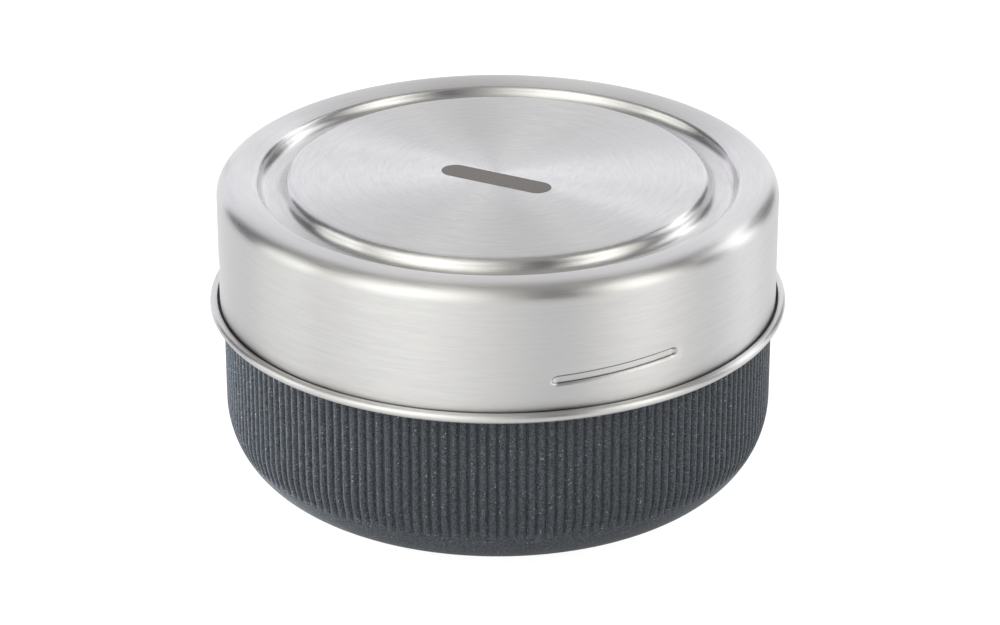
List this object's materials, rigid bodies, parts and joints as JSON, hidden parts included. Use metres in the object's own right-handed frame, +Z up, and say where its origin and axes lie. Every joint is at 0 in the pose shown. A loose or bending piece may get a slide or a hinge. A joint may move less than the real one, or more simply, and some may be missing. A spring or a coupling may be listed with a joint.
{
  "type": "glass lunch bowl",
  "caption": "Round glass lunch bowl in a ribbed grey silicone sleeve, closed by a deep screw-on brushed steel lid with a silicone seal ring.",
  "frame": {"origin": "centre of the sleeve's flat base, on the surface that the bowl stands on", "axes": "+Z up along the bowl's axis, -Y towards the front that the picture shows, +X to the right"},
  "size_m": [0.1554, 0.1554, 0.0834],
  "materials": {
    "sleeve_silicone": "matte dark slate-grey silicone with fine pale flecks",
    "clear_glass": "clear borosilicate glass, polished",
    "seal_silicone": "satin translucent white silicone",
    "brushed_steel": "spun-brushed stainless steel, satin"
  },
  "bodies": {
    "sleeve": {"silicone_sleeve": "sleeve_silicone"},
    "bowl": {"glass_bowl": "clear_glass"},
    "seal": {"lid_seal": "seal_silicone"},
    "lid": {"lid_shell": "brushed_steel"}
  },
  "joints": [
    {"name": "bowl_lift", "type": "slide", "parent": "sleeve", "child": "bowl", "axis": [0, 0, 1], "range_m": [0, 0.06]},
    {"name": "lid_lift", "type": "slide", "parent": "bowl", "child": "seal", "axis": [0, 0, 1], "range_m": [0, 0.0401]},
    {"name": "lid_turn", "type": "hinge", "parent": "seal", "child": "lid", "pos_m": [0, 0, 0.065], "axis": [0, 0, 1], "range_deg": [0, 600]}
  ],
  "couplings": [
    {"joint": "lid_lift", "follows": "lid_turn", "m_per_rad": 0.0038197}
  ]
}
